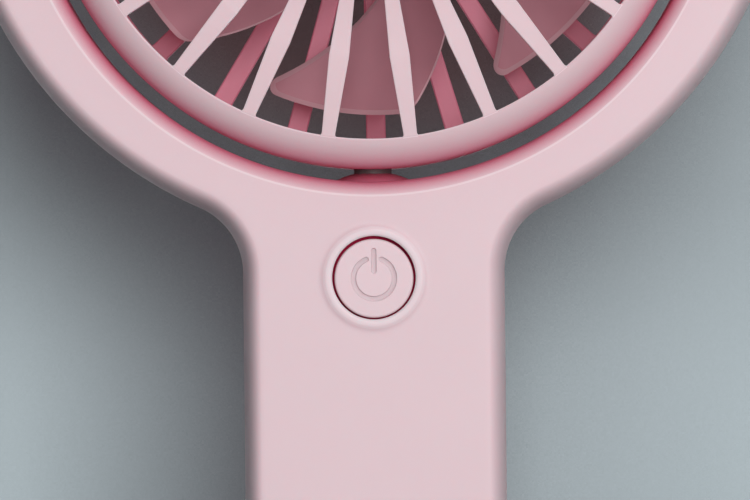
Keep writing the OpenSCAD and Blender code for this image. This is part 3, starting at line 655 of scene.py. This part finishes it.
def rear_grille():
    """The rear half of the head: rim and duct wall, straight ribs, the hub and the ridge over the leads."""
    bm = bmesh.new()
    inner, plate = -12.8, -13.8
    revolve(bm, [(r, -w) for r, w in rim_profile(RIM_REAR, 0.3, [(DUCT_R, 0)])], HEAD_Z, 300)
    made = finish_mesh("rear_grille_moulding", bm)

    def high(r):
        return plate + (inner - plate) * (r - 12) / (DUCT_R - 12)

    def low(r):
        return high(r) - 2 + 0.6 * (r - 12) / (DUCT_R - 12)

    stations = []
    for r, half in ((13.8, 1.12), (27, 1.22), (39.4, 1.33), (39.7, 1.4), (40.6, 1.5)):
        stations.append((r, half, low(r) + (0.25 if r > 40 else 0), high(r), 0.16))
    first = -math.pi / 2 + REAR_TURN
    combine(made, ribs(stations, first), "UNION")
    hub = bmesh.new()
    shape = [(0, -15.6, 0), (11, -15.6, 0.1), (11.2, -15.8, 0.1), (14.5, -15.8, 0.5), (14.5, plate, 0.3),
             (0, plate, 0)]
    revolve(hub, rounded(shape, closed=False), HEAD_Z, 160, closed=False)
    combine(made, hub, "UNION")
    ridge = bmesh.new()
    beam(ridge, [(r, 1.25, low_w, -13.4, 0.25) for r, low_w in ((13.2, -15.7), (39.9, -15.7), (41.2, -15.2))],
         first, HEAD_Z)
    combine(made, ridge, "UNION", 28)
    return made


# ---- Impeller ----

BLADES = 7
HUB_R = 12.6
TIP_R = 36.6
BLADE_ARC = math.radians(35)
EDGE_SLANT = math.radians(42)
TIP_BAND = 0.62
TIP_FALL = 0.75
REAR_CORNER_R = 1.35
FRONT_CORNER_R = 3.5
REAR_SWEEP = -1.49
REAR_CURVE = 0.02
FRONT_SWEEP = -1.43
BLADE_PHASE = -9.4
BLADE_HALF = 0.45
EDGE_CUT = 0.36
FRONT_CUT = 0.3
BACK_CUT = 0.12
REAR_BAND = 0.045
FRONT_BAND = 0.016
ROOT_IN = 0.6
ROOT_HEIGHT = 10
HEIGHT_LOSS = 1.6
BLADE_W = -2.4
BLADE_BELLY = 1.1


def corner_cut(u, round_r, angle):
    """How far the rounding of a tip corner lowers the tip, u from where the tip and the edge would meet."""
    reach = round_r / math.tan(angle / 2)
    if u > reach:
        return 0
    inside = round_r - u * math.sin(angle)
    along = reach - u * math.cos(angle) - math.sqrt(max(0, round_r ** 2 - inside ** 2))
    return math.cos(EDGE_SLANT) * along


def tip_radius(t):
    """The blade's tip falls a little towards its rear corner, and both its corners are rounded."""
    length = BLADE_ARC * TIP_R
    right = math.pi / 2
    return (TIP_R - TIP_FALL * (1 - t) - corner_cut(t * length, REAR_CORNER_R, right - EDGE_SLANT)
            - corner_cut((1 - t) * length, FRONT_CORNER_R, right + EDGE_SLANT))


def blade_point(s, t, side, turn):
    """A point of the blade: s runs from hub to tip, t from the rear edge to the front one."""
    root = HUB_R - ROOT_IN
    tip = tip_radius(t)
    r = root + s * (tip - root)
    height = ROOT_HEIGHT - HEIGHT_LOSS * (r - HUB_R) / (TIP_R - HUB_R)
    d = r - TIP_R
    sweep = (1 - t) * (REAR_SWEEP + REAR_CURVE * d) * d + t * FRONT_SWEEP * d
    a = math.radians(sweep + BLADE_PHASE - 90) + (t - 0.5) * BLADE_ARC + turn
    thin = max(EDGE_CUT * max(0, 1 - (tip - r) / TIP_BAND), EDGE_CUT * max(0, 1 - t / REAR_BAND),
               FRONT_CUT * max(0, 1 - (1 - t) / FRONT_BAND))
    half = BLADE_HALF - (thin if side > 0 else min(BACK_CUT, thin))
    w = BLADE_W + (t - 0.5) * height - BLADE_BELLY * math.sin(math.pi * t) + side * half
    return at(r * math.cos(a), HEAD_Z + r * math.sin(a), w)


def blades():
    """Seven thin swept blades with a chamfer round their free edges, which takes the second material, a
    painted edge glow.
    """
    bm = bmesh.new()
    band = 1 - TIP_BAND / (TIP_R - HUB_R + ROOT_IN)
    along = [band * k / 18 for k in range(19)] + [band + (1 - band) * f for f in (0.25, 0.5, 0.75, 1)]
    across = [0, 0.006, 0.015, 0.03, REAR_BAND, 0.06, 0.08, 0.1, 0.12, 0.14]
    across += [0.14 + 0.78 * k / 14 for k in range(1, 15)]
    across += [0.94, 0.955, 0.97, 1 - FRONT_BAND, 0.992, 1]
    for blade in range(BLADES):
        turn = TURN * blade / BLADES
        sheets = [[[bm.verts.new(blade_point(s, t, side, turn)) for t in across] for s in along]
                  for side in (1, -1)]
        for sheet in sheets:
            for i, (a, b) in enumerate(zip(sheet, sheet[1:])):
                for j in range(len(across) - 1):
                    face = bm.faces.new((a[j], a[j + 1], b[j + 1], b[j]))
                    at_side = across[j + 1] <= REAR_BAND or across[j] >= 1 - FRONT_BAND
                    face.material_index = int(along[i] > band - 0.001 or at_side)
        front, back = [[*sheet[0], *[row[-1] for row in sheet[1:]], *sheet[-1][-2::-1],
                        *[row[0] for row in sheet[-2:0:-1]]] for sheet in sheets]
        known = set(bm.faces)
        bridge(bm, front, back)
        for face in set(bm.faces) - known:
            face.material_index = 1
    return finish_mesh("impeller_blade_set", bm, 24)


def impeller_hub():
    """The cup over the motor, with a rounded rim and a shallow dish in its face."""
    bm = bmesh.new()
    back, front = -HUB_HIGH.y, -HUB_LOW.y
    dish, under = front - 0.4, front - 1.4
    outside = [(0, front, 0), (3.2, front, 0), (3.6, dish, 0.2), (HUB_R - 2.6, dish, 0.3),
               (HUB_R - 2.2, front, 0.2), (HUB_R, front, 1.2), (HUB_R, back, 0.3)]
    inside = [(10.8, back, 0.2), (10.8, under, 0.3), (1.1, under, 0), (1.1, front - 1.3, 0),
              (0, front - 1.3, 0)]
    revolve(bm, rounded(outside + inside, closed=False), HEAD_Z, 160, closed=False)
    return finish_mesh("impeller_cup", bm)


# ---- Putting the pieces on their bodies ----

def place(piece, body, slot, material, *nodes):
    """Puts the piece on its body. Its faces keep their material numbers, for materials added later."""
    numbers = [face.material_index for face in piece.data.polygons]
    piece.data.materials.clear()
    piece.data.materials.append(material)
    for face, number in zip(piece.data.polygons, numbers):
        face.material_index = number
    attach(piece, body)
    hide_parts(*nodes)


def dress(nodes, material):
    """Gives CAD nodes a material in place of the one they came with."""
    for name in nodes:
        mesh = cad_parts[name].data
        if not mesh.materials:
            mesh.materials.append(material)
        for i in range(len(mesh.materials)):
            mesh.materials[i] = material


def tint(piece, material, axis_z=0, test=None):
    """Adds a material, and gives it to the faces that pass the test.

    The test takes the distance of a face's centre from the axis at axis_z, its w, and how squarely the face
    looks along w."""
    piece.data.materials.append(material)
    if test:
        for face in piece.data.polygons:
            x, y, z = face.center / MM
            if test(math.hypot(x, z - axis_z), -y, abs(face.normal.y)):
                face.material_index = len(piece.data.materials) - 1


def dressed_body(gap):
    """The body's two skins, with painted shade where surfaces close in, painted highlights on the button's
    lip and the ring's crease, and painted shade on the wall of the button's bore.
    """
    shell = plastic("shell_satin_painted_shade", PINK)
    skin = body_skin("front_skin", 1)
    place(skin, "handle", "shell", shell, "front_shell", "front_grip")
    # Painted highlights: the button's lip and the ring's crease are painted paler than the body.
    crest = plastic("lip_crest_painted_highlight", CREST_HIGHLIGHT_PINK, nook=None)
    foot = plastic("lip_foot_painted_highlight", LIP_HIGHLIGHT_PINK, nook=None)
    crease = plastic("crease_painted_highlight", CREASE_HIGHLIGHT_PINK, nook=None)
    tint(skin, foot, BUTTON_Z, lambda r, w, flat: r < LIP_R and w > HALF_D)
    tint(skin, crest, BUTTON_Z, lambda r, w, flat: r < LIP_CREST_R and w > HALF_D)
    # Painted shade on the wall of the button's bore.
    tint(skin, gap, BUTTON_Z, lambda r, w, flat: r < BUTTON_BORE + 0.02 and flat < 0.3)
    tint(skin, crease, HEAD_Z, lambda r, w, flat: 0 < r - MOUTH_CREASE_R < CREASE_HIGHLIGHT_BAND and w > HALF_D - 0.02)
    place(body_skin("rear_skin", -1), "handle", "shell", shell, "rear_shell", "rear_grip")


def dressed_button(gap):
    """The button, a little glossier than the body, with painted shade in its grooves and on its side in the
    dark gap round it.
    """
    cap = power_button()
    satin = plastic("button_satin", PINK, rough=(0.38, 0.46), nook=None)
    # Painted shade: the grooves are painted 0.86 as bright as the face.
    shade = 0.86
    groove = plastic("button_groove_painted_shade", tuple(c * shade for c in PINK), nook=None)
    place(cap, "button", "button", satin, "power_button")
    tint(cap, groove, BUTTON_Z, lambda r, w, flat: r < 4.6 and w < BUTTON_TOP - 0.02)
    # Painted shade on the button's side, inside the gap.
    tint(cap, gap, BUTTON_Z, lambda r, w, flat: r > BUTTON_R - 0.1 and w < BUTTON_TOP - 0.3)


def dressed_grilles():
    """The head's two halves, with painted shade in their nooks that reaches further on the rear half, and a
    painted highlight on the walls of the front openings.
    """
    satin = plastic("head_satin_painted_shade", HEAD_PINK, nook=HEAD_SHADE_PINK, nook_reach=20, nook_range=(0.3, 0.97),
                    nook_bend=0.52)
    rear_painted_shade = plastic("rear_satin_painted_shade", HEAD_PINK, nook=REAR_SHADE_PINK, nook_reach=45, nook_range=(0.35, 0.97),
                   nook_bend=0.7)
    # Painted highlight: the walls of the front openings are painted paler than the head, with no painted
    # shade.
    wall = plastic("opening_wall_painted_highlight", OPENING_HIGHLIGHT_PINK, nook=None)
    front = front_grille()
    place(front, "head", "head_plastic", satin, "front_rim", "front_grille")
    reach, low = OPENING_R + 0.21, RIM_FRONT + 1.5
    tint(front, wall, HEAD_Z, lambda r, w, flat: r < reach and w > low and flat < 0.97)
    place(rear_grille(), "head", "head_plastic", rear_painted_shade, "rear_rim", "rear_grille")
    dress(["lead_cover"], satin)


def dressed_impeller():
    """Smoky, lightly frosted blades with a glossier chamfer painted paler as a painted edge glow, and the hub
    in the same plastic.
    """
    smoked = finish_of("smoked_frosted", (0.46, 0.225, 0.265), rough=(0.5, 0.62), tone=0.06, patch=6,
                       grain=0.2, depth=0.004, Alpha=0.93)
    # Painted edge glow: the chamfer is painted paler than the blade; its lower roughness is its own.
    chamfer = finish_of("smoked_edge_painted_glow", (0.49, 0.31, 0.34), rough=(0.35, 0.45), tone=0.03, patch=6,
                        grain=0.2, depth=0.002, Alpha=0.96)
    fan = blades()
    place(fan, "rotor", "smoked_plastic", smoked, "impeller_blades")
    tint(fan, chamfer)
    place(impeller_hub(), "rotor", "smoked_plastic", smoked, "impeller_hub")


def dress_small_mouldings():
    """The cap, the bushes, the plugs, the light pipe and the black pieces."""
    dress(["grille_cap"], plastic("cap_gloss_painted_shade", PINK, rough=(0.22, 0.3), Coat_Weight=0.3))
    # Painted shade: the bushes are painted a deeper pink than the body, on top of the painted shade in their
    # nooks.
    dress(["lower_bush", "upper_bush"], plastic("bush_satin_painted_shade", (0.76, 0.36, 0.45), rough=(0.45, 0.55)))
    dress(["screw_plugs"],
          finish_of("plug_rubber", (0.66, 0.42, 0.47), rough=(0.7, 0.8), tone=0.05, depth=0.008))
    dress(["switch_plunger", "tact_switch", "usb_tongue"],
          finish_of("black_moulded", (0.02, 0.02, 0.022), rough=(0.45, 0.6), tone=0.2))
    dress(["charge_light"],
          finish_of("light_pipe", (0.85, 0.85, 0.83), rough=(0.15, 0.25), tone=0.03, Alpha=0.75))


def dress_electronics():
    """The boards, the battery, the leads and the windings."""
    dress(["control_board", "charge_board", "battery_board", "motor_board"],
          finish_of("solder_mask", (0.015, 0.13, 0.06), rough=(0.25, 0.4), tone=0.25, patch=3))
    dress(["board_components"],
          finish_of("chip_epoxy", (0.025, 0.025, 0.03), rough=(0.6, 0.75), tone=0.3, patch=1))
    dress(["battery"], finish_of("pouch_foil", (0.5, 0.52, 0.55), rough=(0.28, 0.42), tone=0.08, patch=8,
                                 depth=0.02, Metallic=0.8))
    dress(["battery_pad"], finish_of("foam", (0.62, 0.62, 0.58), rough=(0.85, 0.95), tone=0.12, patch=2,
                                     grain=0.5, depth=0.1))
    dress(["battery_leads", "charge_leads", "motor_leads_handle", "motor_leads_head"],
          finish_of("lead_jacket", (0.45, 0.03, 0.03), rough=(0.4, 0.55), tone=0.1, patch=3))
    dress(["stator_windings"], finish_of("copper_wire", (0.62, 0.26, 0.11), rough=(0.3, 0.45), tone=0.2,
                                         patch=0.6, grain=0.3, depth=0.1, Metallic=0.9))


def dress_metals():
    """The socket, the screws and plates, the spindles, the bearings and the iron of the motor."""
    dress(["usb_socket"],
          finish_of("socket_steel", (0.62, 0.62, 0.62), rough=(0.25, 0.4), tone=0.06, Metallic=1.0))
    dress(["shell_screws", "rotor_yoke", "stop_plate", "lower_wave_washer", "upper_wave_washer"],
          finish_of("plated_steel", (0.5, 0.5, 0.5), rough=(0.3, 0.45), tone=0.08, patch=2, Metallic=1.0))
    # Painted shade: the spindles are painted nearly black, as dark as the shadow round them.
    dress(["lower_spindle", "upper_spindle"],
          finish_of("spindle_painted_shade", (0.13, 0.10, 0.10), rough=(0.5, 0.65), tone=0.1, patch=2))
    dress(["motor_shaft", "bearing_outer_rings", "bearing_inner_rings", "bearing_balls"],
          finish_of("ground_steel", (0.66, 0.66, 0.67), rough=(0.15, 0.25), tone=0.04, Metallic=1.0))
    dress(["spindle_clips", "shaft_clip"],
          finish_of("black_oxide", (0.04, 0.04, 0.045), rough=(0.4, 0.55), tone=0.2, Metallic=0.9))
    dress(["bearing_tube"],
          finish_of("turned_brass", (0.72, 0.5, 0.2), rough=(0.25, 0.4), tone=0.06, Metallic=1.0))
    dress(["stator_core", "magnet_ring"],
          finish_of("dark_iron", (0.12, 0.12, 0.13), rough=(0.45, 0.6), tone=0.15, patch=1, Metallic=0.6))


# ---- Stage, lights and camera ----

def sheet(name, corners, material):
    """A flat piece of the stage."""
    mesh = bpy.data.meshes.new(name)
    mesh.from_pydata(corners, [], [list(range(len(corners)))])
    made = bpy.data.objects.new(name, mesh)
    bpy.context.scene.collection.objects.link(made)
    mesh.materials.append(material)
    return made


def one_sided(material):
    """Lets the back of a surface be seen through, so that a backdrop never hides the object."""
    nodes, links = material.node_tree.nodes, material.node_tree.links
    which = nodes.new("ShaderNodeNewGeometry")
    clear = nodes.new("ShaderNodeBsdfTransparent")
    mix = nodes.new("ShaderNodeMixShader")
    links.new(which.outputs["Backfacing"], mix.inputs[0])
    links.new(nodes["Principled BSDF"].outputs[0], mix.inputs[1])
    links.new(clear.outputs[0], mix.inputs[2])
    links.new(mix.outputs[0], nodes["Material Output"].inputs["Surface"])
    return material


def paint_backdrop_light(material, middle):
    """Paints light onto a backdrop: painted light that makes it brighter low down, and a painted pink glow
    behind the head that stands for the pink light the plastic throws.
    """
    nodes, links = material.node_tree.nodes, material.node_tree.links
    base = nodes["Principled BSDF"].inputs["Base Color"]
    plain = base.links[0].from_socket
    place = nodes.new("ShaderNodeTexCoord")

    def blend(value, low, high, low_tint, high_tint):
        share = nodes.new("ShaderNodeMapRange")
        share.inputs["From Min"].default_value = low * MM
        share.inputs["From Max"].default_value = high * MM
        links.new(value, share.inputs["Value"])
        made = nodes.new("ShaderNodeMix")
        made.data_type = "RGBA"
        made.inputs["A"].default_value = (*low_tint, 1)
        made.inputs["B"].default_value = (*high_tint, 1)
        links.new(share.outputs["Result"], made.inputs["Factor"])
        return made.outputs["Result"]

    def times(a, b):
        made = nodes.new("ShaderNodeMix")
        made.data_type = "RGBA"
        made.blend_type = "MULTIPLY"
        made.inputs["Factor"].default_value = 1
        links.new(a, made.inputs["A"])
        links.new(b, made.inputs["B"])
        return made.outputs["Result"]

    away = nodes.new("ShaderNodeVectorMath")
    away.operation = "DISTANCE"
    away.inputs[1].default_value = middle
    links.new(place.outputs["Object"], away.inputs[0])
    parts = nodes.new("ShaderNodeSeparateXYZ")
    links.new(place.outputs["Object"], parts.inputs["Vector"])
    # Painted light: a pink glow within the head's radius, a cool tint beyond it.
    painted_pink_bounce = blend(away.outputs["Value"], HEAD_R - 9, HEAD_R + 4, (0.93, 0.60, 0.57), (0.93, 1, 0.975))
    # Painted light and shadow: full brightness low down, 0.77 of it from 47 mm under the head's middle up.
    low = blend(parts.outputs["Z"], HEAD_Z - 88, HEAD_Z - 47, (1, 1, 1), (0.77, 0.77, 0.77))
    links.new(times(times(plain, painted_pink_bounce), low), base)
    return material


def stage():
    """A pale floor, and close behind the object a grey card that only the photograph's side sees."""
    floor_r, steps = 2.6, 64
    edge = [(floor_r * math.cos(TURN * k / steps), floor_r * math.sin(TURN * k / steps), 0)
            for k in range(steps)]
    pale = finish_of("pale_floor", (0.74, 0.75, 0.76), rough=(0.8, 0.9), tone=0.02, patch=90, grain=2,
                     depth=0.01, Specular_IOR_Level=0.0)
    ground = sheet("floor", edge, pale)
    ground.visible_diffuse = False
    half_wide, high, back = 0.8, 0.9, 0.05
    # Painted shadow: the card's colour darkens almost to black where the object closes in on it.
    grey = finish_of("grey_card_painted_light_and_shadow", (0.58, 0.637, 0.688), rough=(0.7, 0.8), tone=0.02, patch=60, grain=1,
                     depth=0.01, nook=(0.02, 0.036, 0.036), nook_reach=90, nook_range=(0.28, 0.86))
    corners = [(-half_wide, back, 0), (half_wide, back, 0), (half_wide, back, high), (-half_wide, back, high)]
    behind_head = (0, back, (HEAD_Z + 3) * MM)
    card = sheet("backdrop", corners, one_sided(paint_backdrop_light(grey, behind_head)))
    card.visible_glossy = card.visible_shadow = False


def area_light(name, place, target, size, power):
    """A square soft box of size metres that faces its target."""
    data = bpy.data.lights.new(name, "AREA")
    data.shape = "SQUARE"
    data.size = size
    data.energy = power
    lamp = bpy.data.objects.new(name, data)
    bpy.context.scene.collection.objects.link(lamp)
    lamp.location = place
    lamp.rotation_mode = "QUATERNION"
    lamp.rotation_quaternion = (Vector(target) - Vector(place)).to_track_quat("-Z", "Y")
    lamp.visible_camera = False
    return lamp


def lights():
    """A large soft box in front, a little to the right and above, and a weaker one for the back."""
    middle = at(0, HEAD_Z * 0.75, 0)
    key_offset, key_size, key_power = Vector((0.27, -1.3, 0.18)), 0.85, 19.8
    rear_offset, rear_size, rear_power = Vector((0, 1.5, 0.1)), 0.8, 19
    area_light("key", middle + key_offset, middle, key_size, key_power)
    rear = area_light("rear", middle + rear_offset, middle, rear_size, rear_power)
    rear.visible_glossy = False
    world = bpy.data.worlds.new("studio")
    bpy.context.scene.world = world
    world.use_nodes = True
    background = world.node_tree.nodes["Background"]
    background.inputs["Color"].default_value = (0.86, 0.9, 0.93, 1)
    background.inputs["Strength"].default_value = 0.06
    bpy.context.scene.view_settings.view_transform = "Standard"


def camera():
    """A long lens in front of the button, rolled a little, as in the photograph."""
    data = bpy.data.cameras.new("camera")
    made = bpy.data.objects.new("camera", data)
    bpy.context.scene.collection.objects.link(made)
    data.sensor_width = 36
    data.lens = 328.6
    data.clip_start, data.clip_end = 0.05, 30
    distance, aside, below, roll = 900, 0.18, 54.45, -0.587
    made.location = at(aside, HEAD_Z - below, RIM_FACE + distance)
    made.rotation_mode = "QUATERNION"
    made.rotation_quaternion = (Matrix.Rotation(math.radians(90), 3, "X")
                                @ Matrix.Rotation(math.radians(roll), 3, "Z")).to_quaternion()
    bpy.context.scene.camera = made


# Painted shade: a deep crimson for the walls of the gap round the button, where shade falls.
painted_gap_shade = plastic("gap_shade", (0.62, 0.02, 0.09), rough=(0.6, 0.7), nook=None, Specular_IOR_Level=0.1)
dressed_body(painted_gap_shade)
dressed_button(painted_gap_shade)
dressed_grilles()
dressed_impeller()
dress_small_mouldings()
dress_electronics()
dress_metals()
stage()
lights()
camera()
